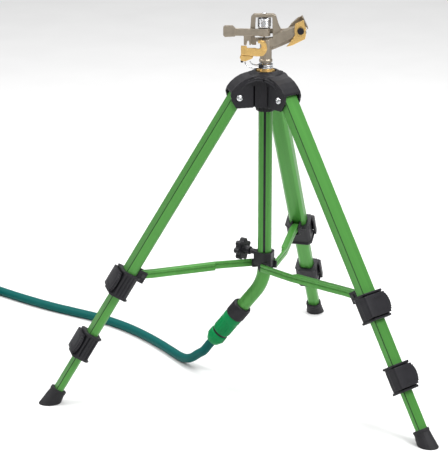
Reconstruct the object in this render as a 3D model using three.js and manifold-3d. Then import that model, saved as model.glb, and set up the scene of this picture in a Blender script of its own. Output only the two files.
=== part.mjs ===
// Impact sprinkler on a folding tripod, with a water tube, a push-fit hose
// connector and a short leader hose. Millimetres, +Z up, ground at z = 0.
import * as THREE from 'three';
import { mergeVertices } from 'three/addons/utils/BufferGeometryUtils.js';
import Module from 'manifold-3d';

const wasm = await Module();
wasm.setup();
const rad = THREE.MathUtils.degToRad;

// ---------------------------------------------------------------- dimensions
const GAP = 0.3; // between a piece and the neighbour it rests on or runs in

// Tripod
const LEG_PIVOT_RADIUS = 52.6;
const LEG_PIVOT_HEIGHT = 551;
const LEG_ANGLE = rad(32.13); // from the vertical, at rest
const LEG_AZIMUTHS = { back: 90, left: 210, right: 330 };
const TUBE_WALL = 1.2;
const UPPER = { width: 31.5, depth: 21, from: -12, to: 395 };
const MIDDLE = { width: 26, depth: 17.5, from: 150, to: 527 };
const LOWER = { width: 22, depth: 14.5, from: 230, to: 636 };
const UPPER_CLAMP_AT = 394; // distance down the leg from its pivot
const LOWER_CLAMP_AT = 526;
const CLAMP = { length: 50, wall: 6, lip: 2.5, lipHeight: 4 };
const BOLT_RADIUS = 3;

// Spreader struts and the collar that slides on the water tube
const STRUT_PIVOT_AT = 364;
const STRUT_PIVOT_INSET = 22;
const STRUT = { width: 12, height: 14, bladeOffset: 16, bladeThick: 4.5, bladeTo: 90 };
const STRUT_INNER_PIVOT = 15;
const COLLAR = { bottom: 231.5, top: 257.5, radius: 20, flat: 15.6 };
const KNOB_AZIMUTH = 160;
const KNOB_HEIGHT = 252;
const KNOB_BOSS_RADIUS = 5.2;

// Water tube, elbow and connector
const WATER_TUBE = { radius: 12.5, bore: 10.5, top: 586, bendStart: 230, bendRadius: 85 };
const INLET_AZIMUTH = 172;
const INLET_DROP = rad(52); // below the horizontal
const INLET_RADIUS_AT = 42; // horizontal distance where the connector begins
const CONNECTOR = { adapter: 28, sleeve: 44, ring: 4, nut: 24, radius: 18 };

// Hose
const HOSE_RADIUS = 8.5;
const HOSE_REST = HOSE_RADIUS + GAP;
const HOSE_EDGE = new THREE.Vector3(-669.7, 323, HOSE_REST); // where the coil takes over
const HOSE_END = { x: -876, from: 193.5, to: 128, height: 13.3 };
const COIL = { x: -768.1, y: 255.7, inner: 75, outer: 111.5, height: 35.6 };

// Sprinkler head
const HEAD_AZIMUTH = 16;
const ARM_PIVOT_X = -3;
const BARREL_RISE = rad(24);
const TRIP_PIVOT = { x: -3.5, z: 636 };
const DEFLECTOR_PIVOT = { x: 60.5, z: 666.5 };

const strutPivot = {
  radius: LEG_PIVOT_RADIUS + STRUT_PIVOT_AT * Math.sin(LEG_ANGLE)
    - STRUT_PIVOT_INSET * Math.cos(LEG_ANGLE),
  height: LEG_PIVOT_HEIGHT - STRUT_PIVOT_AT * Math.cos(LEG_ANGLE)
    - STRUT_PIVOT_INSET * Math.sin(LEG_ANGLE),
};
const soleDistance = LEG_PIVOT_HEIGHT / Math.cos(LEG_ANGLE);

// ----------------------------------------------------------------- materials
function finish(color, roughness, metalness) {
  return () => new THREE.MeshStandardMaterial({ color, roughness, metalness });
}
const anodisedGreen = finish(0x56a04c, 0.35, 0.5);
const blackPlastic = finish(0x2f2e31, 0.55, 0);
const rubber = finish(0x2a2a2c, 0.85, 0);
const connectorGreen = finish(0x1c8f55, 0.4, 0);
const hoseTeal = finish(0x06605c, 0.5, 0);
const zinc = finish(0x96907f, 0.45, 0.8);
const brass = finish(0xdcb469, 0.35, 0.9);
const steel = finish(0xb9bcc0, 0.3, 0.95);

// ------------------------------------------------------------- solid helpers
function solid(geometry) {
  const bare = geometry.clone();
  bare.deleteAttribute('normal');
  bare.deleteAttribute('uv');
  const merged = mergeVertices(bare, 1e-4);
  const index = merged.index.array;
  const kept = [];
  for (let i = 0; i < index.length; i += 3) {
    const [a, b, c] = [index[i], index[i + 1], index[i + 2]];
    if (a !== b && b !== c && c !== a) kept.push(a, b, c);
  }
  const mesh = new wasm.Mesh({
    numProp: 3,
    vertProperties: new Float32Array(merged.attributes.position.array),
    triVerts: new Uint32Array(kept),
  });
  return new wasm.Manifold(mesh);
}

function toGeometry(manifold) {
  const mesh = manifold.getMesh();
  const geometry = new THREE.BufferGeometry();
  geometry.setAttribute('position', new THREE.BufferAttribute(mesh.vertProperties, 3));
  geometry.setIndex(new THREE.BufferAttribute(mesh.triVerts, 1));
  geometry.computeVertexNormals();
  return geometry;
}

function union(...solids) {
  return solids.reduce((whole, next) => whole.add(next));
}

function box(xMin, xMax, yMin, yMax, zMin, zMax) {
  const geometry = new THREE.BoxGeometry(xMax - xMin, yMax - yMin, zMax - zMin);
  geometry.translate((xMin + xMax) / 2, (yMin + yMax) / 2, (zMin + zMax) / 2);
  return solid(geometry);
}

function outline(points) {
  return new THREE.Shape(points.map(([x, y]) => new THREE.Vector2(x, y)));
}

// A closed (radius, height) profile turned about Z.
function revolve(points, segments = 20) {
  const area = points.reduce((sum, [r, z], i) => {
    const [r2, z2] = points[(i + 1) % points.length];
    return sum + r * z2 - r2 * z;
  }, 0);
  const ordered = area > 0 ? points : [...points].reverse();
  const profile = [...ordered, ordered[0]].map(([r, z]) => new THREE.Vector2(r, z));
  return solid(new THREE.LatheGeometry(profile, segments).rotateX(Math.PI / 2));
}

function ring(inner, outer, bottom, top, segments = 20) {
  return revolve([[inner, bottom], [outer, bottom], [outer, top], [inner, top]], segments);
}

function disc(radius, bottom, top, segments = 20) {
  const geometry = new THREE.CylinderGeometry(radius, radius, top - bottom, segments);
  return solid(geometry.rotateX(Math.PI / 2).translate(0, 0, (bottom + top) / 2));
}

// A rod between two points, tapering from one radius to another.
function rod(from, to, radius, endRadius = radius, segments = 12) {
  const a = new THREE.Vector3(...from);
  const b = new THREE.Vector3(...to);
  const along = b.clone().sub(a);
  const geometry = new THREE.CylinderGeometry(endRadius, radius, along.length(), segments);
  const turn = new THREE.Quaternion().setFromUnitVectors(
    new THREE.Vector3(0, 1, 0), along.clone().normalize());
  geometry.applyQuaternion(turn).translate(...a.add(b).multiplyScalar(0.5).toArray());
  return solid(geometry);
}

// An (x, z) outline given a thickness from yMin to yMax.
function slab(points, yMin, yMax) {
  const geometry = new THREE.ExtrudeGeometry(outline(points),
    { depth: yMax - yMin, bevelEnabled: false });
  return solid(geometry.rotateX(Math.PI / 2).translate(0, yMax, 0));
}

// An (x, y) outline given a height from zMin to zMax.
function prism(points, zMin, zMax) {
  const geometry = new THREE.ExtrudeGeometry(outline(points),
    { depth: zMax - zMin, bevelEnabled: false });
  return solid(geometry.translate(0, 0, zMin));
}

function place(parent, name, shape, material) {
  const mesh = new THREE.Mesh(toGeometry(shape), material());
  mesh.name = name;
  parent.add(mesh);
}

function turned(parent, azimuth) {
  const group = new THREE.Group();
  group.rotation.z = rad(azimuth);
  parent.add(group);
  return group;
}

// ----------------------------------------------------------------------- hub
// A spider with three hooded wings; each wing's two cheeks hold a leg.
const WING_HALF = UPPER.width / 2 + 5;
const SLOT_HALF = UPPER.width / 2 + 0.5;

function hubBody() {
  const core = revolve([[13.1, 532], [29.5, 532], [29.5, 588], [28.5, 590], [22, 594],
    [18, 594], [18, 588], [13.1, 588]], 28);
  const wing = slab([[20, 532], [58, 532], [66, 545], [68.5, 556], [66, 564], [60, 571.5],
    [51, 579], [41, 584.5], [29, 588], [20, 588]], -WING_HALF, WING_HALF);
  const legSweep = union(
    slab([[41, 552], [41, 520], [86.2, 520], [62.8, 557.5]], -SLOT_HALF, SLOT_HALF),
    rod([LEG_PIVOT_RADIUS, -SLOT_HALF, LEG_PIVOT_HEIGHT],
      [LEG_PIVOT_RADIUS, SLOT_HALF, LEG_PIVOT_HEIGHT], 16.9, 16.9, 20));
  const boltHole = rod([LEG_PIVOT_RADIUS, -40, LEG_PIVOT_HEIGHT],
    [LEG_PIVOT_RADIUS, 40, LEG_PIVOT_HEIGHT], BOLT_RADIUS + GAP);
  let body = core;
  for (const azimuth of Object.values(LEG_AZIMUTHS)) {
    body = body.add(wing.rotate([0, 0, azimuth]));
  }
  for (const azimuth of Object.values(LEG_AZIMUTHS)) {
    body = body.subtract(legSweep.rotate([0, 0, azimuth]));
    body = body.subtract(boltHole.rotate([0, 0, azimuth]));
  }
  return body.subtract(disc(13.1, 500, 600, 28)).subtract(disc(18, 588, 600, 28));
}

function tubeGland() {
  let gland = ring(WATER_TUBE.radius + GAP, 16, 521, 531.7, 24);
  for (let i = 0; i < 12; i += 1) {
    gland = gland.add(box(14, 17.6, -1.4, 1.4, 522.5, 531.7).rotate([0, 0, i * 30]));
  }
  return gland;
}

function legBolt() {
  const head = WING_HALF + GAP;
  return union(
    rod([0, -head, 0], [0, head, 0], BOLT_RADIUS),
    rod([0, -head - 3, 0], [0, -head, 0], 4.6, 6),
    rod([0, head, 0], [0, head + 3, 0], 6, 4.6));
}

// ---------------------------------------------------------------------- legs
// A leg lies along -Z of its own frame, pivot at the origin, outer face to +X.
function legSection({ width, depth }, inset = 0) {
  const w = width / 2 - inset;
  const d = depth / 2 - inset;
  return [[d, 1.5 - w], [d, w - 1.5], [d - 1.5, w], [5.5 - d, w], [-d, w - 5],
    [-d, 5 - w], [5.5 - d, -w], [d - 1.5, -w]];
}

function legTube(tube) {
  const shell = prism(legSection(tube), -tube.to, -tube.from);
  return shell.subtract(prism(legSection(tube, TUBE_WALL), -tube.to - 1, -tube.from + 1));
}

function upperTube() {
  const bolt = rod([0, -40, 0], [0, 40, 0], BOLT_RADIUS + GAP);
  return legTube(UPPER).subtract(bolt);
}

function clampOutline(tube, grow) {
  const x0 = -tube.depth / 2 - CLAMP.wall + 1 - grow;
  const x1 = tube.depth / 2 + CLAMP.wall + 1 + grow;
  const y1 = tube.width / 2 + CLAMP.wall + grow;
  return [[x0, 7 - y1], [x0 + 6, -y1], [x1 - 4, -y1], [x1, 4 - y1], [x1, y1 - 4],
    [x1 - 4, y1], [x0 + 6, y1], [x0, y1 - 7]];
}

// The block that grips the outer tube's end and lets the inner tube run.
function clampBody(outer, inner, at) {
  const half = CLAMP.length / 2;
  const [low, high] = [-at - half, -at + half];
  const step = -outer.to - GAP;
  return union(
    prism(clampOutline(outer, 0), low, high),
    prism(clampOutline(outer, CLAMP.lip), low, low + CLAMP.lipHeight),
    prism(clampOutline(outer, CLAMP.lip), high - CLAMP.lipHeight, high))
    .subtract(prism(legSection(outer, -GAP), step, high + 1))
    .subtract(prism(legSection(inner, -GAP), low - 1, step + 1));
}

// The upper clamp also carries the two ears that hold a strut's outer end.
function upperClampBody() {
  const ears = box(-STRUT_PIVOT_INSET - 7, -11.2, -9.4, 9.4,
    -STRUT_PIVOT_AT - 14, -STRUT_PIVOT_AT + 8);
  const strutSlot = box(-60, -11.2, -STRUT.width / 2 - 0.4, STRUT.width / 2 + 0.4,
    -STRUT_PIVOT_AT - 11, -STRUT_PIVOT_AT + 60);
  const pinHole = rod([-STRUT_PIVOT_INSET, -20, -STRUT_PIVOT_AT],
    [-STRUT_PIVOT_INSET, 20, -STRUT_PIVOT_AT], 2 + GAP);
  return clampBody(UPPER, MIDDLE, UPPER_CLAMP_AT).add(ears)
    .subtract(strutSlot).subtract(pinHole);
}

// A flip lever: knuckle on one side, plate over the outer face, curled end.
function clampLever(outer, at) {
  const face = outer.depth / 2 + CLAMP.wall + 1.4;
  const side = outer.width / 2 + CLAMP.wall;
  const half = CLAMP.length / 2 - CLAMP.lipHeight - 2;
  return union(
    rod([face + 2.6, side + 4, -at - half], [face + 2.6, side + 4, -at + half], 3.2),
    box(face, face + 5.6, -side - 5, side + 4, -at - half, -at + half),
    box(face - 11, face + 5.6, -side - 5, -side - 0.6, -at - half, -at + half));
}

function foot() {
  const top = soleDistance - 30;
  const boot = rod([0, 0, -soleDistance - 24], [0, 0, -top], 20.5, 13.5, 20);
  const cuff = rod([0, 0, -top - 5], [0, 0, -top], 15, 15, 20);
  const socket = prism(legSection(LOWER, -GAP), -LOWER.to - GAP, 0);
  const ground = box(200, 500, -100, 100, -200, 0)
    .translate([0, 0, -LEG_PIVOT_HEIGHT])
    .rotate([0, THREE.MathUtils.radToDeg(LEG_ANGLE), 0]);
  return boot.add(cuff).subtract(socket).subtract(ground);
}

// -------------------------------------------------------- struts and collar
// In a strut's frame +X is outward along the leg's azimuth; the inner end is a
// thin blade that passes beside the water tube and lies on the collar's flat.
function strut() {
  const half = STRUT.width / 2;
  const outer = strutPivot.radius + 6;
  const { bladeOffset: near, bladeThick, bladeTo } = STRUT;
  const far = near + bladeThick;
  const straightTo = strutPivot.radius - 20;
  const plan = [[outer, half], [straightTo, half], [bladeTo, -8], [bladeTo - 3, -near],
    [STRUT_INNER_PIVOT - 6, -near], [STRUT_INNER_PIVOT - 6, -far], [bladeTo - 3, -far],
    [straightTo, -half], [outer, -half]];
  const z = strutPivot.height;
  const bar = prism(plan, z - STRUT.height / 2, z + STRUT.height / 2);
  const pinHole = rod([strutPivot.radius, -20, z], [strutPivot.radius, 20, z], 2 + GAP);
  const sideProfile = slab([[outer, z - 3], [outer, z + 3], [outer - 4, z + 7], [12, z + 7],
    [9, z + 3], [9, z - 3], [12, z - 7], [outer - 4, z - 7]], -30, 10);
  return bar.intersect(sideProfile).subtract(pinHole);
}

function strutPin() {
  return union(
    rod([-STRUT_PIVOT_INSET, -9.7, -STRUT_PIVOT_AT], [-STRUT_PIVOT_INSET, 9.7, -STRUT_PIVOT_AT], 2),
    rod([-STRUT_PIVOT_INSET, -11.2, -STRUT_PIVOT_AT], [-STRUT_PIVOT_INSET, -9.7, -STRUT_PIVOT_AT], 3.6),
    rod([-STRUT_PIVOT_INSET, 9.7, -STRUT_PIVOT_AT], [-STRUT_PIVOT_INSET, 11.2, -STRUT_PIVOT_AT], 3.6));
}

function collar() {
  const bore = WATER_TUBE.radius + GAP;
  const { bottom, top, radius, flat } = COLLAR;
  const lugHeight = strutPivot.height;
  let body = ring(bore, radius, bottom, top, 24);
  for (const azimuth of Object.values(LEG_AZIMUTHS)) {
    body = body.add(box(-2, 20, -flat, -10, lugHeight - 7, bottom + 8).rotate([0, 0, azimuth]));
  }
  for (const azimuth of Object.values(LEG_AZIMUTHS)) {
    const besideLug = box(-30, 30, -40, -flat, 200, 240);
    const besideBlade = box(-12, 30, -40, -flat, 200, 300);
    body = body.subtract(besideLug.add(besideBlade).rotate([0, 0, azimuth]));
  }
  const boss = rod([12, 0, KNOB_HEIGHT], [30, 0, KNOB_HEIGHT], KNOB_BOSS_RADIUS);
  body = body.add(boss.rotate([0, 0, KNOB_AZIMUTH]));
  const screwHole = rod([10, 0, KNOB_HEIGHT], [40, 0, KNOB_HEIGHT], 3 + GAP);
  return body.subtract(screwHole.rotate([0, 0, KNOB_AZIMUTH]))
    .subtract(disc(bore, 200, 300, 24));
}

// A star knob along +X with its clamping screw.
function starKnob() {
  let head = rod([44, 0, 0], [55, 0, 0], 16);
  for (let i = 0; i < 7; i += 1) {
    const angle = (i / 7) * 2 * Math.PI;
    const [y, z] = [15.5 * Math.cos(angle), 15.5 * Math.sin(angle)];
    head = head.add(rod([44, y, z], [55, y, z], 5.2, 5.2, 12));
  }
  return union(head, rod([31, 0, 0], [45, 0, 0], 7.5, 9), rod([13.2, 0, 0], [32, 0, 0], 3));
}

// -------------------------------------------------- water tube and connector
const bendTurn = Math.PI / 2 - INLET_DROP;
const bendEnd = {
  out: WATER_TUBE.bendRadius * (1 - Math.cos(bendTurn)),
  z: WATER_TUBE.bendStart - WATER_TUBE.bendRadius * Math.sin(bendTurn),
};
const inletRun = (INLET_RADIUS_AT - bendEnd.out) / Math.cos(INLET_DROP);
const inletStart = {
  out: INLET_RADIUS_AT,
  z: bendEnd.z - inletRun * Math.sin(INLET_DROP),
};

// The tube's centre line lies in the XZ plane: down, round the bend, then out.
function waterTube() {
  const { radius, bore, top, bendStart, bendRadius } = WATER_TUBE;
  const arc = new THREE.EllipseCurve(bendRadius, bendStart, bendRadius, bendRadius,
    Math.PI, Math.PI + bendTurn);
  const arcPoints = arc.getPoints(8).map((p) => new THREE.Vector3(p.x, 0, p.y));
  const intoNut = 14;
  const end = new THREE.Vector3(
    inletStart.out + intoNut * Math.cos(INLET_DROP), 0,
    inletStart.z - intoNut * Math.sin(INLET_DROP));
  const path = new THREE.CurvePath();
  const points = [new THREE.Vector3(0, 0, bendStart + 1), ...arcPoints, end];
  for (let i = 1; i < points.length; i += 1) {
    path.add(new THREE.LineCurve3(points[i - 1], points[i]));
  }
  const round = (r) => {
    const circle = new THREE.Shape();
    circle.absarc(0, 0, r, 0, 2 * Math.PI);
    return solid(new THREE.ExtrudeGeometry(circle,
      { extrudePath: path, steps: 14, curveSegments: 9, bevelEnabled: false }));
  };
  const outside = union(round(radius), disc(radius, bendStart + 0.5, top, 18));
  return outside.subtract(round(bore))
    .subtract(rod([end.x - 0.8, 0, end.z + 1], [end.x + 30 * Math.cos(INLET_DROP), 0,
      end.z - 30 * Math.sin(INLET_DROP)], bore))
    .subtract(disc(bore, bendStart, top + 1, 18));
}

// Along +Z of the inlet's own frame, starting where the adapter begins.
function adapterNut() {
  const socket = WATER_TUBE.radius + GAP;
  const { adapter, radius } = CONNECTOR;
  return revolve([[9, 15], [9, adapter], [radius, adapter], [radius, 3], [radius - 2, 0],
    [socket, 0], [socket, 15]], 24);
}

function connectorSleeve() {
  const start = CONNECTOR.adapter + GAP;
  const end = start + CONNECTOR.sleeve - GAP;
  const { radius } = CONNECTOR;
  let sleeve = revolve([[11, start], [radius - 0.5, start], [radius - 1.2, start + 16],
    [radius - 1.5, end], [11, end]], 24);
  for (let i = 0; i < 16; i += 1) {
    sleeve = sleeve.add(box(14, radius + 0.2, -1, 1, start + 12, end - 2)
      .rotate([0, 0, i * 22.5]));
  }
  return sleeve;
}

function connectorRing() {
  const start = CONNECTOR.adapter + CONNECTOR.sleeve + GAP;
  return ring(9, CONNECTOR.radius - 2.5, start, start + CONNECTOR.ring - GAP, 24);
}

function connectorNut() {
  const start = CONNECTOR.adapter + CONNECTOR.sleeve + CONNECTOR.ring + GAP;
  const end = start + CONNECTOR.nut;
  return revolve([[6, start], [17, start], [17, end - 9], [12.5, end], [6, end]], 24);
}

// ---------------------------------------------------------------------- hose
const connectorLength = CONNECTOR.adapter + CONNECTOR.sleeve + CONNECTOR.ring
  + CONNECTOR.nut + 2 * GAP;

function alongInlet(distance) {
  const out = inletStart.out + distance * Math.cos(INLET_DROP);
  const z = inletStart.z - distance * Math.sin(INLET_DROP);
  const azimuth = rad(INLET_AZIMUTH);
  return new THREE.Vector3(out * Math.cos(azimuth), out * Math.sin(azimuth), z);
}

function hoseRun() {
  const lying = (x, y) => new THREE.Vector3(x, y, HOSE_REST);
  const route = [
    alongInlet(connectorLength),
    alongInlet(connectorLength + 15),
    alongInlet(connectorLength + 30),
    new THREE.Vector3(-134, 24, 34),
    new THREE.Vector3(-149, 33, 21.5),
    new THREE.Vector3(-165, 46, 13),
    new THREE.Vector3(-182, 62, 9.4),
    lying(-204, 81),
    lying(-233, 104),
    lying(-268, 127),
    lying(-309, 150),
    lying(-355, 173),
    lying(-405, 197),
    lying(-460, 222),
    lying(-520, 250),
    lying(-580, 280),
    lying(-626, 302),
    HOSE_EDGE,
  ];
  const section = new THREE.Shape();
  section.absarc(0, 0, HOSE_RADIUS, 0, 2 * Math.PI);
  const curve = new THREE.CatmullRomCurve3(route, false, 'centripetal');
  return solid(new THREE.ExtrudeGeometry(section,
    { extrudePath: curve, steps: 34, curveSegments: 4, bevelEnabled: false }));
}

// The fitting on the hose's far end, lying beside the coil along -Y.
function hoseEnd() {
  const { x, from, to, height } = HOSE_END;
  const part = (start, end, radius, endRadius) => rod([x, start, height], [x, end, height],
    radius, endRadius, 20);
  const whole = union(part(from, from - 14, 9.6, 11), part(from - 13, from - 34, 13, 13),
    part(from - 33, to, 11.5, 12.5));
  return whole.subtract(part(to + 22, to - 5, 8, 8));
}

// ------------------------------------------------------------ sprinkler head
function baseNut() {
  const hexagon = [];
  for (let i = 0; i < 6; i += 1) {
    hexagon.push([16.5 * Math.cos(rad(60 * i)), 16.5 * Math.sin(rad(60 * i))]);
  }
  return prism(hexagon, 588.3, 595).add(disc(13, 594.5, 598)).subtract(disc(8 + GAP, 580, 600));
}

function frictionCollar(bottom, reach) {
  const middle = bottom + 1.6;
  const tang = rod([-11, 0, middle], [-reach, 0, middle], 1.1, 1.1, 8);
  return ring(8 + GAP, 12.8, bottom, bottom + 3.2).add(tang);
}

function barrelPoint(distance) {
  return [2 + distance * Math.cos(BARREL_RISE), 0, 640 + distance * Math.sin(BARREL_RISE)];
}

// A rod across the head, along Y, at a pivot's place.
function crossRod({ x, z }, yMin, yMax, radius) {
  return rod([x, yMin, z], [x, yMax, z], radius);
}

function headBody() {
  const neck = revolve([[0, 609], [12, 609], [12, 613], [10.5, 615], [10.5, 650], [0, 650]]);
  const frame = slab([[-24, 640], [-29, 646], [-26, 690], [-21, 695], [13, 695], [17.5, 692],
    [22, 677], [26, 668], [26, 646], [-17, 646], [-17, 640]], -4.5, 4.5);
  const barrel = slab([[2, 640], [6, 656.5], [64.1, 677.5], [69.8, 664.7], [12, 638]], -8.5, 8.5);
  const keel = slab([[8, 642], [11, 631], [37, 642], [71.5, 661.1], [69.8, 664.7]], -4.5, 4.5);
  const window = slab([[-19.5, 652], [-18, 689], [11, 689], [12, 652]], -10, 10);
  const leverBoss = crossRod(TRIP_PIVOT, -12.6, 0, 5);
  return union(frame, barrel, keel).subtract(window).add(neck).add(leverBoss)
    .subtract(disc(8 + GAP, 600, 634))
    .subtract(rod(barrelPoint(60), barrelPoint(80), 5 + GAP))
    .subtract(crossRod(DEFLECTOR_PIVOT, -20, 0, 2 + GAP))
    .subtract(disc(1.6 + GAP, 651, 700).translate([ARM_PIVOT_X, 0, 0]));
}

function fulcrumPin() {
  return union(disc(1.6, 651.5, 696), disc(4, 695.3, 697.3)).translate([ARM_PIVOT_X, 0, 0]);
}

function driveArm() {
  const hub = ring(1.6 + GAP, 11, 656, 669.5).translate([ARM_PIVOT_X, 0, 0]);
  const weightBar = slab([[-2, 657.5], [-56, 657.5], [-56, 670.5], [-2, 669.5]], -10.5, -6);
  const weight = slab([[-54, 657], [-72, 656], [-75, 659], [-75, 673], [-72, 675.5], [-58, 675.5],
    [-54, 671]], -14, -4.5);
  const tripBlock = slab([[-26, 658], [-39, 658], [-39, 641.5], [-34, 641.5], [-32.5, 649],
    [-30, 649], [-29, 641.5], [-26, 641.5]], -12, -6);
  const vaneBar = slab([[-2, 657], [44, 658], [47, 668], [36, 666], [-2, 666]], 9.5, 12.5);
  const vane = slab([[38, 658], [52, 662], [72, 668.5], [63, 689], [56, 686], [45, 676],
    [38, 666]], 9.5, 12.5);
  const spoon = slab([[62.5, 689.5], [72.5, 668], [74.2, 668.8], [64.2, 690.3]], -4, 12.5);
  const whole = union(hub, weightBar, weight, tripBlock, vaneBar, vane, spoon);
  return whole.subtract(disc(1.6 + GAP, 640, 680).translate([ARM_PIVOT_X, 0, 0]));
}

function nozzle() {
  return rod(barrelPoint(60.6), barrelPoint(74), 5).subtract(rod(barrelPoint(59), barrelPoint(76), 2.4));
}

function deflector() {
  const cheek = slab([[35.5, 638], [46, 640.5], [68.5, 652], [70, 660], [66.3, 684.5],
    [50.5, 677.5], [49.5, 668], [50.5, 659], [45, 650]], -11.6, -9.4);
  const hood = slab([[51.5, 676.5], [66, 682.9], [65.3, 684.9], [50.8, 678.5]], -11.6, -4.6);
  return cheek.add(hood).subtract(crossRod(DEFLECTOR_PIVOT, -20, 0, 2 + GAP));
}

function deflectorScrew() {
  return crossRod(DEFLECTOR_PIVOT, -17, -11.9, 6).add(crossRod(DEFLECTOR_PIVOT, -12, -5.7, 2));
}

// A bar with a block at its left end and a hook that curls over its pivot.
function tripLever() {
  const bar = slab([[-44, 641], [-44, 625.5], [-14, 622.5], [-5, 623.5], [0, 629], [2, 636],
    [1, 644], [-3, 649.5], [-9, 651.5], [-14, 650], [-14.5, 646.5], [-10, 645.5], [-7.8, 641.5],
    [-9, 637.5], [-13, 635.5], [-19, 637], [-33, 637], [-34, 641]], -19, -13);
  return bar.subtract(crossRod(TRIP_PIVOT, -22, -10, 2.5 + GAP));
}

function tripPin() {
  return crossRod(TRIP_PIVOT, -20.5, -19.3, 3.4).add(crossRod(TRIP_PIVOT, -19.5, -13, 2.5));
}

function tripFinger() {
  return slab([[-46, 620], [-43, 614.5], [-36, 613.5], [-24, 618.5], [-22, 622.2], [-30, 623.3],
    [-44, 624.7]], -18, -12.5);
}

// ------------------------------------------------------------------ assembly
const tripod = new THREE.Group();
place(tripod, 'hub_body', hubBody(), blackPlastic);
place(tripod, 'tube_gland', tubeGland(), blackPlastic);
place(tripod, 'slider_collar', collar(), blackPlastic);

for (const [side, azimuth] of Object.entries(LEG_AZIMUTHS)) {
  const frame = turned(tripod, azimuth);
  place(frame, `strut_${side}`, strut(), anodisedGreen);
  const leg = new THREE.Group();
  leg.position.set(LEG_PIVOT_RADIUS, 0, LEG_PIVOT_HEIGHT);
  leg.rotation.y = -LEG_ANGLE;
  frame.add(leg);
  place(leg, `pivot_bolt_${side}`, legBolt(), steel);
  place(leg, `upper_leg_${side}`, upperTube(), anodisedGreen);
  place(leg, `middle_leg_${side}`, legTube(MIDDLE), anodisedGreen);
  place(leg, `lower_leg_${side}`, legTube(LOWER), anodisedGreen);
  place(leg, `upper_clamp_${side}`, upperClampBody(), blackPlastic);
  place(leg, `lower_clamp_${side}`, clampBody(MIDDLE, LOWER, LOWER_CLAMP_AT), blackPlastic);
  place(leg, `upper_lever_${side}`, clampLever(UPPER, UPPER_CLAMP_AT), blackPlastic);
  place(leg, `lower_lever_${side}`, clampLever(MIDDLE, LOWER_CLAMP_AT), blackPlastic);
  place(leg, `strut_pin_${side}`, strutPin(), steel);
  place(leg, `foot_${side}`, foot(), rubber);
}

const knobFrame = turned(tripod, KNOB_AZIMUTH);
const knobAxis = new THREE.Group();
knobAxis.position.z = KNOB_HEIGHT;
knobFrame.add(knobAxis);
place(knobAxis, 'star_knob', starKnob(), blackPlastic);

const inletFrame = turned(tripod, INLET_AZIMUTH);
place(inletFrame, 'water_tube', waterTube(), anodisedGreen);
const inlet = new THREE.Group();
inlet.position.set(inletStart.out, 0, inletStart.z);
inlet.rotation.y = Math.PI / 2 + INLET_DROP;
inletFrame.add(inlet);
place(inlet, 'adapter_nut', adapterNut(), blackPlastic);
place(inlet, 'connector_sleeve', connectorSleeve(), connectorGreen);
place(inlet, 'connector_ring', connectorRing(), blackPlastic);
place(inlet, 'connector_nut', connectorNut(), connectorGreen);

const head = turned(tripod, HEAD_AZIMUTH);
place(head, 'base_nut', baseNut(), brass);
place(head, 'bearing_tube', ring(5.5, 8, 587, 633), brass);
place(head, 'lower_friction_collar', frictionCollar(598.4, 34), steel);
place(head, 'upper_friction_collar', frictionCollar(602.2, 28), steel);
place(head, 'bearing_spring', ring(8 + GAP, 10.5, 605.8, 608.6), steel);
place(head, 'head_body', headBody(), zinc);
place(head, 'fulcrum_pin', fulcrumPin(), steel);
place(head, 'arm_spring', ring(8, 12, 670, 688.6).translate([ARM_PIVOT_X, 0, 0]), steel);
place(head, 'drive_arm', driveArm(), zinc);
place(head, 'nozzle', nozzle(), brass);
place(head, 'deflector', deflector(), brass);
place(head, 'deflector_screw', deflectorScrew(), blackPlastic);
place(head, 'trip_lever', tripLever(), brass);
place(head, 'trip_pin', tripPin(), brass);
place(head, 'trip_finger', tripFinger(), brass);

// The row's origin is under the middle of the tripod and head, on the ground.
tripod.updateMatrixWorld(true);
const extent = new THREE.Box3().setFromObject(tripod, true);
const middle = extent.getCenter(new THREE.Vector3());

place(tripod, 'hose_run', hoseRun(), hoseTeal);
place(tripod, 'hose_coil', ring(COIL.inner, COIL.outer, GAP, COIL.height, 28)
  .translate([COIL.x, COIL.y, 0]), hoseTeal);
place(tripod, 'hose_end', hoseEnd(), connectorGreen);

const sprinkler = new THREE.Group();
tripod.position.set(-middle.x, -middle.y, 0);
sprinkler.add(tripod);

export default sprinkler;
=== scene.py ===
"""The looks of the tripod impact sprinkler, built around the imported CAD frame."""
import math

import bmesh
import bpy
from mathutils import Matrix, Vector


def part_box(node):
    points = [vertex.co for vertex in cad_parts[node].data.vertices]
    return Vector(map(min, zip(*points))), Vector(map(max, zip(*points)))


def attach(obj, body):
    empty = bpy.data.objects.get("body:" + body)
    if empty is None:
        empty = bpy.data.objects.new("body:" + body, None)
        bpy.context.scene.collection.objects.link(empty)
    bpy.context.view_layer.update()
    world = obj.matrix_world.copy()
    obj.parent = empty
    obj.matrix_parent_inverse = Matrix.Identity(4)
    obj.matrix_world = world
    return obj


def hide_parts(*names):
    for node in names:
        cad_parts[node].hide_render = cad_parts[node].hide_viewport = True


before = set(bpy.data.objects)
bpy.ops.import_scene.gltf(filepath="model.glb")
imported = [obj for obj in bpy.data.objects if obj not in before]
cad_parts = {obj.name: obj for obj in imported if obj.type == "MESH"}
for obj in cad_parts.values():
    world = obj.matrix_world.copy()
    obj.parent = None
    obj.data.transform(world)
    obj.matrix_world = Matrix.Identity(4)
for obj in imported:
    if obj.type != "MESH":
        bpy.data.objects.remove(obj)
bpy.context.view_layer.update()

MM = 0.001
SIDES = {"back": 90, "left": 210, "right": 330}

# The shapes below are drawn in millimetres about the water tube's axis, with
# the ground at z = 0, and TO_ROW carries them into the row frame.
gland_low, gland_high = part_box("tube_gland")
AXIS = (gland_low + gland_high) / 2
TO_ROW = Matrix.Translation((AXIS.x, AXIS.y, 0)) @ Matrix.Scale(MM, 4)


def turn(axis, degrees):
    return Matrix.Rotation(math.radians(degrees), 4, axis)


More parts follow.
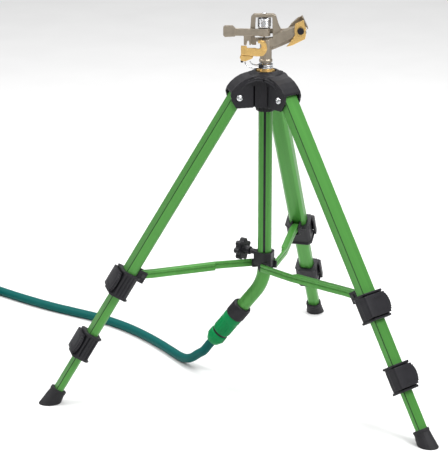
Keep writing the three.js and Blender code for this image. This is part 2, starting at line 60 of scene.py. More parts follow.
# ------------------------------------------------------------------ frames
LEG_PIVOT_RADIUS = 52.6
LEG_PIVOT_HEIGHT = 551
LEG_ANGLE = 32.13
INLET_AZIMUTH = 172
INLET_DROP = 52
HEAD_AZIMUTH = 16
# Where the black painted-shade strip runs down the water tube.
SHADE_STRIP_AZIMUTH = 281
KNOB_AZIMUTH = 160
KNOB_HEIGHT = 252
TUBE_RADIUS = 12.5
BEND_RADIUS = 85
BEND_START = 230
INLET_OUT = 42
bend_turn = math.radians(90 - INLET_DROP)
bend_out = BEND_RADIUS * (1 - math.cos(bend_turn))
bend_low = BEND_START - BEND_RADIUS * math.sin(bend_turn)
INLET_Z = bend_low - (INLET_OUT - bend_out) * math.tan(math.radians(INLET_DROP))

CENTRE = Matrix.Identity(4)
HEAD = turn("Z", HEAD_AZIMUTH)
KNOB = turn("Z", KNOB_AZIMUTH) @ Matrix.Translation((0, 0, KNOB_HEIGHT))
ELBOW = turn("Z", INLET_AZIMUTH)
INLET = ELBOW @ Matrix.Translation((INLET_OUT, 0, INLET_Z)) @ turn("Y", 90 + INLET_DROP)


def leg_frame(side):
    """Down the leg is -Z, its outer face looks along +X, its pivot is the origin."""
    out = turn("Z", SIDES[side])
    return out @ Matrix.Translation((LEG_PIVOT_RADIUS, 0, LEG_PIVOT_HEIGHT)) @ turn("Y", -LEG_ANGLE)


# --------------------------------------------------------------- materials
def principled(name, colour, roughness, metallic):
    """A new material, its node tree, and its shader with the plain values set."""
    material = bpy.data.materials.new(name)
    material.use_nodes = True
    tree = material.node_tree
    shader = tree.nodes["Principled BSDF"]
    shader.inputs["Base Color"].default_value = (*colour, 1)
    shader.inputs["Roughness"].default_value = roughness
    shader.inputs["Metallic"].default_value = metallic
    return material, tree, shader


def local_point(tree, scale):
    """The piece's own millimetre coordinates, which its mesh carries."""
    attribute = tree.nodes.new("ShaderNodeAttribute")
    attribute.attribute_name = "local"
    mapping = tree.nodes.new("ShaderNodeMapping")
    mapping.inputs["Scale"].default_value = scale
    tree.links.new(attribute.outputs["Vector"], mapping.inputs["Vector"])
    return mapping.outputs["Vector"]


def noise(tree, vector, scale, detail=3.0, roughness=0.5):
    node = tree.nodes.new("ShaderNodeTexNoise")
    node.inputs["Scale"].default_value = scale
    node.inputs["Detail"].default_value = detail
    node.inputs["Roughness"].default_value = roughness
    tree.links.new(vector, node.inputs["Vector"])
    return node.outputs["Fac"]


def ramp(tree, value, stops):
    """A colour ramp with (position, colour) stops."""
    node = tree.nodes.new("ShaderNodeValToRGB")
    elements = node.color_ramp.elements
    while len(elements) < len(stops):
        elements.new(0.5)
    for element, (position, colour) in zip(elements, stops):
        element.position = position
        element.color = (*colour, 1)
    tree.links.new(value, node.inputs["Fac"])
    return node.outputs["Color"]


def spread_value(tree, value, low, high):
    node = tree.nodes.new("ShaderNodeMapRange")
    node.inputs["From Min"].default_value = 0.3
    node.inputs["From Max"].default_value = 0.7
    node.inputs["To Min"].default_value = low
    node.inputs["To Max"].default_value = high
    tree.links.new(value, node.inputs["Value"])
    return node.outputs["Result"]


def bump(tree, shader, height, distance):
    node = tree.nodes.new("ShaderNodeBump")
    node.inputs["Strength"].default_value = 1.0
    node.inputs["Distance"].default_value = distance
    tree.links.new(height, node.inputs["Height"])
    tree.links.new(node.outputs["Normal"], shader.inputs["Normal"])


def shade(colour, factor):
    return tuple(min(1.0, c * factor) for c in colour)


def surface(name, colour, roughness, metallic, *, grain, depth, stretch=(1, 1, 1), vary=0.12,
            rough_vary=0.08, shine=0.5):
    """Colour mottling, uneven gloss and a fine relief, all in millimetres."""
    material, tree, shader = principled(name, colour, roughness, metallic)
    where = local_point(tree, stretch)
    blotch = noise(tree, where, 0.045, 4.0, 0.6)
    stops = [(0.3, shade(colour, 1 - vary)), (0.7, shade(colour, 1 + vary))]
    tree.links.new(ramp(tree, blotch, stops), shader.inputs["Base Color"])
    fine = noise(tree, where, grain, 3.0, 0.6)
    tree.links.new(spread_value(tree, fine, roughness - rough_vary, roughness + rough_vary),
                   shader.inputs["Roughness"])
    bump(tree, shader, fine, depth * MM)
    shader.inputs["Specular IOR Level"].default_value = shine
    return material


GREEN = (0.068, 0.262, 0.044)
ANODISED = surface("anodised_green", GREEN, 0.38, 0.35, stretch=(3, 3, 0.03), grain=1.2,
                   depth=0.02, vary=0.1)
# Dark green for the legs' corner notches: painted shade, so the notches read as dark lines.
GROOVE_SHADE = surface("anodised_green_painted_groove_shade", (0.016, 0.060, 0.012), 0.5, 0.3, grain=1.2, depth=0.02)
BLACK = surface("black_plastic", (0.0135, 0.0130, 0.0160), 0.45, 0.0, grain=1.6, depth=0.06,
                vary=0.2, shine=0.26)
RUBBER = surface("foot_rubber", (0.014, 0.0135, 0.0155), 0.62, 0.0, grain=0.9, depth=0.1,
                 vary=0.25, shine=0.3)
FITTING_GREEN = surface("connector_green", (0.001, 0.215, 0.060), 0.42, 0.0, grain=1.0,
                        depth=0.03, vary=0.14, shine=0.15)
HOSE = surface("hose_teal", (0.001, 0.088, 0.080), 0.5, 0.0, grain=0.8, depth=0.04, vary=0.2,
               shine=0.12)
ZINC = surface("zinc_casting", (0.330, 0.285, 0.225), 0.40, 0.75, grain=1.1, depth=0.09, vary=0.16,
               rough_vary=0.1)
BRASS = surface("brass", (0.760, 0.500, 0.180), 0.32, 0.85, grain=1.0, depth=0.06, vary=0.12,
                rough_vary=0.1)
STEEL = surface("bright_steel", (0.62, 0.63, 0.65), 0.24, 0.95, grain=1.5, depth=0.03, vary=0.1)
BLACKENED = surface("blackened_steel", (0.035, 0.035, 0.037), 0.35, 0.6, grain=1.5, depth=0.03)


# ------------------------------------------------------------- mesh helpers
def mesh_object(name, points, faces):
    mesh = bpy.data.meshes.new(name)
    mesh.from_pydata([tuple(p) for p in points], [], faces)
    mesh.update()
    piece = bpy.data.objects.new(name, mesh)
    bpy.context.scene.collection.objects.link(piece)
    return piece


def outward(piece):
    bm = bmesh.new()
    bm.from_mesh(piece.data)
    bmesh.ops.recalc_face_normals(bm, faces=bm.faces)
    bm.to_mesh(piece.data)
    bm.free()
    return piece


def prism(outline, low, high):
    """A closed (x, y) outline given a height."""
    n = len(outline)
    points = [(x, y, low) for x, y in outline] + [(x, y, high) for x, y in outline]
    faces = [tuple(reversed(range(n))), tuple(range(n, 2 * n))]
    faces += [(i, (i + 1) % n, n + (i + 1) % n, n + i) for i in range(n)]
    return outward(mesh_object("part", points, faces))


def block(x, y, z):
    """A box from a (low, high) pair along each axis."""
    outline = [(x[0], y[0]), (x[1], y[0]), (x[1], y[1]), (x[0], y[1])]
    return prism(outline, *z)


def revolve(profile, segments=64):
    """A closed (radius, z) profile turned about Z."""
    n = len(profile)
    points = []
    for i in range(segments):
        angle = 2 * math.pi * i / segments
        points += [(r * math.cos(angle), r * math.sin(angle), z) for r, z in profile]
    faces = []
    for i in range(segments):
        for j in range(n):
            a, b = i * n + j, i * n + (j + 1) % n
            c, d = ((i + 1) % segments) * n + (j + 1) % n, ((i + 1) % segments) * n + j
            faces.append((a, d, c, b))
    piece = mesh_object("part", points, faces)
    bm = bmesh.new()
    bm.from_mesh(piece.data)
    bmesh.ops.remove_doubles(bm, verts=bm.verts, dist=1e-4)
    bmesh.ops.recalc_face_normals(bm, faces=bm.faces)
    bm.to_mesh(piece.data)
    bm.free()
    return piece


def rod(start, end, radius):
    """A round bar between two points."""
    start, end = Vector(start), Vector(end)
    length = (end - start).length
    piece = revolve([(0, 0), (radius, 0), (radius, length), (0, length)], 40)
    spin = (end - start).to_track_quat("Z", "Y").to_matrix().to_4x4()
    piece.data.transform(Matrix.Translation(start) @ spin)
    return piece


def tube_along(points, radius, segments):
    """A round bar of one radius that follows a path."""
    points = [Vector(p) for p in points]
    tangents = []
    for i in range(len(points)):
        ahead = points[min(i + 1, len(points) - 1)]
        behind = points[max(i - 1, 0)]
        tangents.append((ahead - behind).normalized())
    side = tangents[0].orthogonal().normalized()
    vertices = []
    for point, tangent in zip(points, tangents):
        side = (side - tangent * side.dot(tangent)).normalized()
        other = tangent.cross(side)
        for k in range(segments):
            angle = 2 * math.pi * k / segments
            vertices.append(point + (side * math.cos(angle) + other * math.sin(angle)) * radius)
    faces = []
    for i in range(len(points) - 1):
        for k in range(segments):
            a, b = i * segments + k, i * segments + (k + 1) % segments
            faces.append((a, b, b + segments, a + segments))
    faces.append(tuple(reversed(range(segments))))
    last = (len(points) - 1) * segments
    faces.append(tuple(range(last, last + segments)))
    return outward(mesh_object("part", vertices, faces))


def apply_modifiers(piece):
    bpy.context.view_layer.update()
    graph = bpy.context.evaluated_depsgraph_get()
    result = bpy.data.meshes.new_from_object(piece.evaluated_get(graph))
    piece.modifiers.clear()
    old = piece.data
    piece.data = result
    bpy.data.meshes.remove(old)
    return piece


def join(pieces):
    """Several closed meshes as one object."""
    bm = bmesh.new()
    for piece in pieces:
        bm.from_mesh(piece.data)
    whole = pieces[0]
    bm.to_mesh(whole.data)
    bm.free()
    for piece in pieces[1:]:
        bpy.data.objects.remove(piece)
    return whole


def cut(piece, *cutters):
    for cutter in cutters:
        modifier = piece.modifiers.new("cut", "BOOLEAN")
        modifier.operation = "DIFFERENCE"
        modifier.solver = "EXACT"
        modifier.object = cutter
    apply_modifiers(piece)
    for cutter in cutters:
        bpy.data.objects.remove(cutter)
    return piece


def melt(piece, voxel, rounds, keep):
    """Fuses what overlaps and rounds every edge, as a casting or moulding has."""
    remesh = piece.modifiers.new("melt", "REMESH")
    remesh.mode = "VOXEL"
    remesh.voxel_size = voxel
    smooth = piece.modifiers.new("smooth", "SMOOTH")
    smooth.factor = 0.5
    smooth.iterations = rounds
    reduce = piece.modifiers.new("reduce", "DECIMATE")
    reduce.ratio = keep
    return apply_modifiers(piece)


def bevel(piece, width, segments):
    modifier = piece.modifiers.new("bevel", "BEVEL")
    modifier.width = width
    modifier.segments = segments
    modifier.limit_method = "ANGLE"
    modifier.angle_limit = math.radians(30)
    return apply_modifiers(piece)


def cad_copy(node, to_local):
    """A CAD node's shape in a local frame, in millimetres."""
    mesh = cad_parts[node].data.copy()
    mesh.transform((TO_ROW @ to_local).inverted())
    mesh.materials.clear()
    piece = bpy.data.objects.new("part", mesh)
    bpy.context.scene.collection.objects.link(piece)
    bm = bmesh.new()
    bm.from_mesh(mesh)
    bmesh.ops.remove_doubles(bm, verts=bm.verts, dist=1e-3)
    bmesh.ops.dissolve_limit(bm, angle_limit=math.radians(1), verts=bm.verts, edges=bm.edges)
    bm.to_mesh(mesh)
    bm.free()
    return piece


def settle(piece, name, place, body, material, *nodes, smooth_angle=40):
    """Names a finished piece, moves it into the row frame and gives it its body and look."""
    piece.name = name
    mesh = piece.data
    local = mesh.attributes.new("local", "FLOAT_VECTOR", "POINT")
    local.data.foreach_set("vector", [c for v in mesh.vertices for c in v.co])
    mesh.transform(TO_ROW @ place)
    mesh.materials.clear()
    mesh.materials.append(material)
    mesh.shade_smooth()
    mesh.set_sharp_from_angle(angle=math.radians(smooth_angle))
    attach(piece, body)
    if nodes:
        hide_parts(*nodes)
    return piece


# -------------------------------------------------------- camera and staging
CAMERA_LENS = 164.2
CAMERA_PLACE = (924, -3443, 1448)
CAMERA_DIRECTION = (-0.2657, 0.9142, -0.3059)
FLOOR_REACH = 12
LIT_POINT = (0, 0, 0.35)


def look_through_camera():
    data = bpy.data.cameras.new("camera")
    data.lens = CAMERA_LENS
    data.sensor_width = 36
    data.clip_end = 50
    camera = bpy.data.objects.new("camera", data)
    camera.location = TO_ROW @ Vector(CAMERA_PLACE)
    camera.rotation_euler = Vector(CAMERA_DIRECTION).to_track_quat("-Z", "Y").to_euler()
    bpy.context.scene.collection.objects.link(camera)
    bpy.context.scene.camera = camera


def stage_floor():
    """A plain pale floor with the faintest mottling."""
    corners = [(x * FLOOR_REACH, y * FLOOR_REACH, 0) for x, y in ((-1, -1), (1, -1), (1, 1), (-1, 1))]
    floor = mesh_object("floor", corners, [(0, 1, 2, 3)])
    material, tree, shader = principled("pale_floor", (0.72, 0.72, 0.72), 0.9, 0.0)
    coordinates = tree.nodes.new("ShaderNodeTexCoord")
    speck = noise(tree, coordinates.outputs["Object"], 6.0)
    stops = [(0.2, (0.71, 0.71, 0.71)), (0.8, (0.74, 0.74, 0.74))]
    tree.links.new(ramp(tree, speck, stops), shader.inputs["Base Color"])
    floor.data.materials.append(material)


def area_light(name, location, size, power):
    data = bpy.data.lights.new(name, "AREA")
    data.size = size
    data.energy = power
    light = bpy.data.objects.new(name, data)
    light.location = location
    light.rotation_euler = (Vector(LIT_POINT) - light.location).to_track_quat("-Z", "Y").to_euler()
    bpy.context.scene.collection.objects.link(light)


def light_studio():
    """A soft overhead studio: bright above, dimmer towards the horizon."""
    world = bpy.data.worlds.new("studio")
    world.use_nodes = True
    tree = world.node_tree
    background = tree.nodes["Background"]
    coordinates = tree.nodes.new("ShaderNodeTexCoord")
    split = tree.nodes.new("ShaderNodeSeparateXYZ")
    halved = tree.nodes.new("ShaderNodeMapping")
    halved.inputs["Location"].default_value = (0.5, 0.5, 0.5)
    halved.inputs["Scale"].default_value = (0.5, 0.5, 0.5)
    tree.links.new(coordinates.outputs["Generated"], halved.inputs["Vector"])
    tree.links.new(halved.outputs["Vector"], split.inputs["Vector"])
    stops = [(0.5, (0.10, 0.10, 0.10)), (0.62, (0.22, 0.22, 0.22)), (0.85, (1.0, 1.0, 1.0))]
    sky = ramp(tree, split.outputs["Z"], stops)
    tree.links.new(sky, background.inputs["Color"])
    background.inputs["Strength"].default_value = 0.95
    bpy.context.scene.world = world
    bpy.context.scene.view_settings.view_transform = "Standard"
    area_light("key", (1.7, -0.9, 2.7), size=1.2, power=75)
    area_light("left", (-1.9, -0.6, 2.2), size=1.2, power=38)
    area_light("top", (-0.2, 1.0, 2.9), size=1.6, power=45)


look_through_camera()
stage_floor()
light_studio()

# --------------------------------------------------------------------- hose
HOSE_RADIUS = 8.5
LYING = 8.8  # the hose's centre line where it lies on the ground
COIL_X, COIL_Y = -768.1, 255.7
COIL_OUTER, COIL_INNER = 102.5, 84.9
COIL_UPPER = 26.3
END_X, END_FROM, END_TO, END_Z = -876, 193.5, 128, 13.3
CONNECTOR_LENGTH = 100.6


def along_inlet(distance):
    return INLET @ Vector((0, 0, distance))


def smooth_path(points, steps):
    """A Catmull-Rom curve through given points."""
    points = [Vector(p) for p in points]
    padded = [points[0] * 2 - points[1], *points, points[-1] * 2 - points[-2]]
    path = []
    for a, b, c, d in zip(padded, padded[1:], padded[2:], padded[3:]):
        for k in range(steps):
            t = k / steps
            path.append(0.5 * (2 * b + (c - a) * t + (2 * a - 5 * b + 4 * c - d) * t * t
                               + (3 * b - a - 3 * c + d) * t ** 3))
    return [*path, points[-1]]


def ease(t):
    t = max(0.0, min(1.0, t))
    return t * t * (3 - 2 * t)


def coil_points():
    """Three turns and a third: outer below, inner below, inner above, outer above."""
    start, finish, step = 65.1, 1260.0, 9.0
    inward_at, climb_at, outward_at = 372, 740, 1090
    points = []
    count = round((finish - start) / step)
    for i in range(count + 1):
        angle = start + (finish - start) * i / count
        inward = ease((angle - inward_at) / 50)
        outward_again = ease((angle - outward_at) / 50)
        climb = ease((angle - climb_at) / 52)
        radius = COIL_OUTER - (COIL_OUTER - COIL_INNER) * (inward - outward_again)
        height = LYING + (COIL_UPPER - LYING) * climb
        points.append(Vector((COIL_X + radius * math.cos(math.radians(angle)),
                              COIL_Y + radius * math.sin(math.radians(angle)), height)))
    return points


def hose_route():
    """Out of the connector, down to the ground, along it, round the coil, and to the fitting."""
    lying = [(-205, 84), (-236, 113), (-274, 145), (-317, 176), (-364, 203), (-412, 223),
             (-464, 239), (-520, 257), (-580, 281), (-626, 302), (-669.7, 323)]
    run = [along_inlet(CONNECTOR_LENGTH), along_inlet(CONNECTOR_LENGTH + 15),
           along_inlet(CONNECTOR_LENGTH + 30), (-134, 24, 34), (-149, 33, 21.5), (-165, 46, 13),
           (-182, 62, 9.4)]
    run += [(x, y, LYING) for x, y in lying]
    tail = [(-871.6, 240, 25.5), (-873.6, 222, 21.5), (-875.4, 205, 16), (END_X, END_FROM, END_Z)]
    return smooth_path(run, 6) + coil_points() + smooth_path(tail, 4)


def make_hose():
    route = [TO_ROW @ Vector(p) for p in hose_route()]
    curve = bpy.data.curves.new("hose", "CURVE")
    curve.dimensions = "3D"
    curve.bevel_depth = HOSE_RADIUS * MM
    curve.bevel_resolution = 6
    curve.use_fill_caps = True
    spline = curve.splines.new("POLY")
    spline.points.add(len(route) - 1)
    for point, place in zip(spline.points, route):
        point.co = (*place, 1)
    hose = bpy.data.objects.new("hose", curve)
    bpy.context.scene.collection.objects.link(hose)
    curve.materials.append(HOSE)
    length = sum((b - a).length for a, b in zip(route, route[1:]))
    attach(hose, "hub")
    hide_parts("hose_run", "hose_coil")
    return hose, route, length


hose, hose_path, hose_length = make_hose()


def make_hose_end():
    """A threaded coupling with a ribbed grip on the hose's far end."""
    at = Matrix.Translation((END_X, END_FROM, END_Z)) @ turn("X", 90)
    length = END_FROM - END_TO
    shell = revolve([(8.6, 0.3), (9.6, 0), (10.6, 6), (11.4, 13), (13, 15), (13, 33), (11.6, 35),
                     (11.6, length - 16), (12.6, length - 14), (12.6, length), (8, length),
                     (8, length - 24), (8.6, length - 26)])
    ribs = [block((12.4, 13.6), (-0.7, 0.7), (17, 31)) for _ in range(24)]
    for i, rib in enumerate(ribs):
        rib.data.transform(turn("Z", 360 / len(ribs) * i))
    piece = join([bevel(shell, 0.5, 2), *ribs])
    return settle(piece, "hose_coupling", at, "hub", FITTING_GREEN, "hose_end")


hose_coupling = make_hose_end()


# ---------------------------------------------------------------------- hub
ARCH_HALF = 36
ARCH_TOP = 582
ARCH_DROP = 17
ARCH_DEPTH = 37.5
ARCH_SWEEP = 6
CANOPY_TURNS = (0, 120, 240)


def arch_height(x):
    return ARCH_TOP - ARCH_DROP * (x / ARCH_HALF) ** 2


def arch_front(x):
    return -ARCH_DEPTH - ARCH_SWEEP * (x / ARCH_HALF) ** 2


def hub_canopy():
    """The shell between two wings: an arched rim in front, rising to the collar behind."""
    stations = range(-38, 39, 4)
    points, faces = [], []
    for x in stations:
        rim = arch_height(x)
        points += [(x, arch_front(x), rim), (x, arch_front(x) + 0.8, rim + 3),
                   (x * 0.5, -20, 590), (x * 0.5, -16, rim - 2), (x, arch_front(x) + 4, rim)]
    n = 5
    for i in range(len(stations) - 1):
        for j in range(n):
            a, b = i * n + j, i * n + (j + 1) % n
            faces.append((a, b, b + n, a + n))
    faces.append(tuple(range(n)))
    last = (len(stations) - 1) * n
    faces.append(tuple(reversed(range(last, last + n))))
    shell = outward(mesh_object("part", points, faces))
    rims = [tube_along([(x, arch_front(x) + back, arch_height(x) + up) for x in stations], 0.9, 10)
            for back, up in ((0, 0.6), (1.6, 4.4))]
    return [shell, *rims]


def make_hub():
    """Three hooded wings, arched canopies between them, and slots beside the middle column."""
    body = cad_copy("hub_body", CENTRE)
    cutters = []
    for azimuth in CANOPY_TURNS:
        for angle in (-24, 24):
            slot = block((25.5, 34), (-1.6, 1.6), (520, 572))
            slot.data.transform(turn("Z", azimuth - 90 + angle))
            cutters.append(slot)
        mouth = block((60, 80), (-16.2, 16.2), (520, 553.5))
        mouth.data.transform(turn("Z", azimuth + 90))
        cutters.append(mouth)
    cut(body, *cutters)
    parts = [body]
    for azimuth in CANOPY_TURNS:
        for piece in hub_canopy():
            piece.data.transform(turn("Z", azimuth))
            parts.append(piece)
    hub = join(parts)
    drain = rod((0, -27, 585.5), (0, -42, 583), 1.6)
    drain.data.transform(turn("Z", 10))
    melt(hub, 0.85, 3, 0.45)
    cut(hub, drain)
    settle(hub, "hub", CENTRE, "hub", BLACK, "hub_body", smooth_angle=60)


def make_gland():
    gland = melt(cad_copy("tube_gland", CENTRE), 0.5, 2, 0.5)
    settle(gland, "gland", CENTRE, "hub", BLACK, "tube_gland", smooth_angle=60)


make_hub()
make_gland()


# --------------------------------------------------------------------- legs
# Each section: its width, its depth, and where it starts and ends down the leg.
SECTIONS = {"upper": (31.5, 21, -12, 395), "middle": (26, 17.5, 150, 527),
            "lower": (22, 14.5, 230, 636)}
TUBE_WALL = 1.2
CLAMP_AT = {"upper": 394, "lower": 526}
CLAMP_HALF = 25
CLAMP_WALL = 6
CLAMP_LIP = 2.5
EAR_SLOT = ((-60, -11.2), (-6.5, 6.5), (-375.2, -300))  # x, y and z of the strut's slot
LEVER_FACE = 7.4
LEVER_HALF = 19
LEVER_STEPS = 9
NOTCH_SEGMENTS = [1, 2, 3]


def leg_outline(width, depth, inset=0.0):
    """A drawn tube's section, with a notch down each outer corner."""
    w, d = width / 2 - inset, depth / 2 - inset
    notch = 0.3 if inset else 1.0
    half = [(d, 0), (d, w - 1.2), (d - notch, w - 1.1), (d - 1.1, w - notch), (d - 1.2, w),
            (5.5 - d, w), (4.9 - d, w - 0.3), (0.3 - d, w - 4.7), (-d, w - 5.3)]
    mirrored = [(x, -y) for x, y in reversed(half[1:])]
    return half + mirrored


def leg_section(side, part, body):
    """A hollow drawn tube whose corner notches carry painted shade, darker than its faces."""
    width, depth, start, end = SECTIONS[part]
    outer = leg_outline(width, depth)
    inner = leg_outline(width, depth, TUBE_WALL)
    n = len(outer)
    points = []
    for z in (-end, -start):
        points += [(x, y, z) for x, y in outer] + [(x, y, z) for x, y in inner]
    faces = []
    for i in range(n):
        j = (i + 1) % n
        faces.append((i, j, 2 * n + j, 2 * n + i))
        faces.append((n + j, n + i, 3 * n + i, 3 * n + j))
        faces.append((j, i, n + i, n + j))
        faces.append((2 * n + i, 2 * n + j, 3 * n + j, 3 * n + i))
    piece = outward(mesh_object("part", points, faces))
    settle(piece, f"{part}_tube_{side}", leg_frame(side), body, ANODISED, f"{part}_leg_{side}",
           smooth_angle=20)
    # The notch faces take the dark material: painted shade in the corner notches.
    piece.data.materials.append(GROOVE_SHADE)
    for i in NOTCH_SEGMENTS + [n - 1 - i for i in NOTCH_SEGMENTS]:
        piece.data.polygons[4 * i].material_index = 1


def rounded_box(x0, x1, y0, y1, radius):
    """An (x, y) outline with quarter-round corners."""
    steps = 6
    outline = []
    for cx, cy, first in ((x1 - radius, y1 - radius, 0), (x0 + radius, y1 - radius, 90),
                          (x0 + radius, y0 + radius, 180), (x1 - radius, y0 + radius, 270)):
        for k in range(steps + 1):
            angle = math.radians(first + 90 * k / steps)
            outline.append((cx + radius * math.cos(angle), cy + radius * math.sin(angle)))
    return outline


def clamp_shell(width, depth, low, high, grow):
    x0, x1 = -depth / 2 - CLAMP_WALL + 1 - grow, depth / 2 + CLAMP_WALL + 1 + grow
    y1 = width / 2 + CLAMP_WALL + grow
    return prism(rounded_box(x0, x1, -y1, y1, 8 + grow), low, high)


def clamp_detail(side, part, width, depth):
    """A moulding with a lip at each end, a pad on one cheek and broad ribs on the other."""
    at = CLAMP_AT[part]
    low, high = -at - CLAMP_HALF, -at + CLAMP_HALF
    parts = [clamp_shell(width, depth, low, high, 0),
             clamp_shell(width, depth, low, low + 4, CLAMP_LIP),
             clamp_shell(width, depth, high - 4, high, CLAMP_LIP)]
    cheek = width / 2 + CLAMP_WALL
    parts.append(block((-depth / 2, depth / 2), (-cheek - 0.9, -cheek + 1), (low + 9, high - 9)))
    for x, rise in ((depth / 2 + 1.5, 2.6), (depth / 2 - 5, 3.4), (depth / 2 - 11.5, 2.8),
                    (depth / 2 - 17.5, 1.6)):
        rib = rounded_box(x - 2.3, x + 2.3, cheek - 3, cheek + rise, 1.2)
        parts.append(prism(rib, low + 5, high - 5))
    for piece in parts:
        channel = prism(leg_outline(width + 0.8, depth + 0.8), low - 1, high + 1)
        cutters = [channel]
        if part == "upper":
            cutters.append(block(*EAR_SLOT))
        cut(piece, *cutters)
    body = join([cad_copy(f"{part}_clamp_{side}", leg_frame(side)), *parts])
    return melt(body, 0.85, 3, 0.4)


def lever_outline(face, side_y):
    """A bowed plate whose free end turns outward past the clamp's edge."""
    first, last = side_y + 4, -side_y - 5
    middle, reach = (first + last) / 2, (first - last) / 2
    outline = []
    for k in range(13):
        y = first - (first - last) * k / 12
        outline.append((face + 4.4 + 2.4 * (1 - ((y - middle) / reach) ** 2), y))
    outline += [(face + 1, last - 1.2), (face - 11, last - 2.8), (face - 11.5, last + 0.6),
                (face - 2, -side_y - 0.6), (face, -side_y + 0.5), (face, first)]
    return outline


def lever_detail(part, width, depth):
    """The lever in short steps, so that its knuckle side is rounded and gives the thumb a grip."""
    at = CLAMP_AT[part]
    face = depth / 2 + LEVER_FACE
    side_y = width / 2 + CLAMP_WALL
    pieces = []
    for k in range(LEVER_STEPS):
        low = -at - LEVER_HALF + 2 * LEVER_HALF * k / LEVER_STEPS
        high = low + 2 * LEVER_HALF / LEVER_STEPS
        middle = (low + high) / 2 + at
        set_back = 11 * (1 - math.sqrt(1 - (middle / LEVER_HALF) ** 2))
        trimmed = [(x, min(y, side_y + 5.2 - set_back)) for x, y in lever_outline(face, side_y)]
        pieces.append(prism(trimmed, low, high))
        grip_y = side_y + 3.2 - set_back
        pieces.append(rod((face + 2.4, grip_y, low), (face + 2.4, grip_y, high), 2.9))
    panel = block((face + 6, face + 12), (-side_y + 1, side_y - 7), (-at - 12, -at + 12))
    lever = melt(join(pieces), 0.6, 2, 0.4)
    return cut(lever, panel)


def make_leg(side):
    place = leg_frame(side)
    for part, body in (("upper", "leg"), ("middle", "middle"), ("lower", "lower")):
        leg_section(side, part, f"{body}_{side}")
    for part, section, body in (("upper", "upper", "leg"), ("lower", "middle", "middle")):
        width, depth = SECTIONS[section][:2]
        settle(clamp_detail(side, part, width, depth), f"{part}_clamp_body_{side}", place,
               f"{body}_{side}", BLACK, f"{part}_clamp_{side}", smooth_angle=60)
        settle(lever_detail(part, width, depth), f"{part}_flip_lever_{side}", place,
               f"{part}_lever_{side}", BLACK, f"{part}_lever_{side}", smooth_angle=60)
    boot = melt(cad_copy(f"foot_{side}", place), 0.8, 3, 0.4)
    settle(boot, f"boot_{side}", place, f"lower_{side}", RUBBER, f"foot_{side}", smooth_angle=60)


STRUT_RADIUS = 227.56
STRUT_HEIGHT = 231.05
STRUT_HALF = 6
BLADE_NEAR, BLADE_FAR = 16, 20.5
BLADE_START, BLADE_TIP = 90, 9
BOLT_REACH = 21.05


def strut_plan(inset):
    """The bar bends aside into a blade that passes the water tube."""
    half, near, far = STRUT_HALF - inset, BLADE_NEAR + inset, BLADE_FAR - inset
    outer, straight = STRUT_RADIUS + 6, STRUT_RADIUS - 20
    return [(outer, half), (straight, half), (BLADE_START, -8 - inset),
            (BLADE_START - 3, -near), (BLADE_TIP, -near), (BLADE_TIP, -far),
            (BLADE_START - 3, -far), (straight, -half), (outer, -half)]


def make_strut(side):
    """A bar with a rolled groove along the middle of each flank."""
    place = turn("Z", SIDES[side])
    z = STRUT_HEIGHT
    layers = [prism(strut_plan(0), z - 6.8, z + 0.6), prism(strut_plan(0), z + 2.2, z + 6.8),
              prism(strut_plan(1.1), z + 0.2, z + 2.6)]
    bar = bevel(join(layers), 0.7, 2)
    settle(bar, f"spreader_{side}", place, f"strut_{side}", ANODISED, f"strut_{side}")
    plug = bevel(block((6.5, 10), (-20.9, -15.7), (z - 6.9, z + 6.9)), 0.8, 2)
    settle(plug, f"spreader_plug_{side}", place, f"strut_{side}", BLACK)


def make_bolt(side):
    """A domed rivet head at each end of the leg's pivot."""
    parts = [rod((0, -BOLT_REACH, 0), (0, BOLT_REACH, 0), 3)]
    for sign in (-1, 1):
        dome = revolve([(0, 0), (6, 0), (5.9, 0.8), (4.9, 2.2), (3, 2.9), (2.2, 2.4), (0, 2.3)], 40)
        tilt = turn("X", -90 if sign > 0 else 90)
        dome.data.transform(Matrix.Translation((0, sign * (BOLT_REACH - 0.02), 0)) @ tilt)
        parts.append(dome)
    settle(join(parts), f"rivet_{side}", leg_frame(side), "hub", STEEL, f"pivot_bolt_{side}")


def make_strut_pin(side):
    pin = bevel(cad_copy(f"strut_pin_{side}", leg_frame(side)), 0.5, 3)
    settle(pin, f"strut_rivet_{side}", leg_frame(side), f"leg_{side}", BLACKENED,
           f"strut_pin_{side}")


for side_name in SIDES:
    make_leg(side_name)
    make_strut(side_name)
    make_bolt(side_name)
    make_strut_pin(side_name)


# --------------------------------------------------------- collar and knob
TUBE_TOP = 586
STRIP_HALF = 2.1
STRIP_LOW, STRIP_HIGH = 258, 520.5


def make_collar():
    """The collar with a keyway that runs over the black painted-shade strip on the water tube."""
    body = melt(cad_copy("slider_collar", CENTRE), 0.7, 4, 0.5)
    keyway = block((TUBE_RADIUS - 2, TUBE_RADIUS + 1), (-STRIP_HALF - 0.9, STRIP_HALF + 0.9),
                   (220, 265))
    keyway.data.transform(turn("Z", SHADE_STRIP_AZIMUTH))
    cut(body, keyway)
    settle(body, "collar", CENTRE, "collar", BLACK, "slider_collar", smooth_angle=60)


def make_knob():
    body = melt(cad_copy("star_knob", KNOB), 0.6, 6, 0.5)
    settle(body, "knob", KNOB, "knob", BLACK, "star_knob", smooth_angle=60)


make_collar()
make_knob()


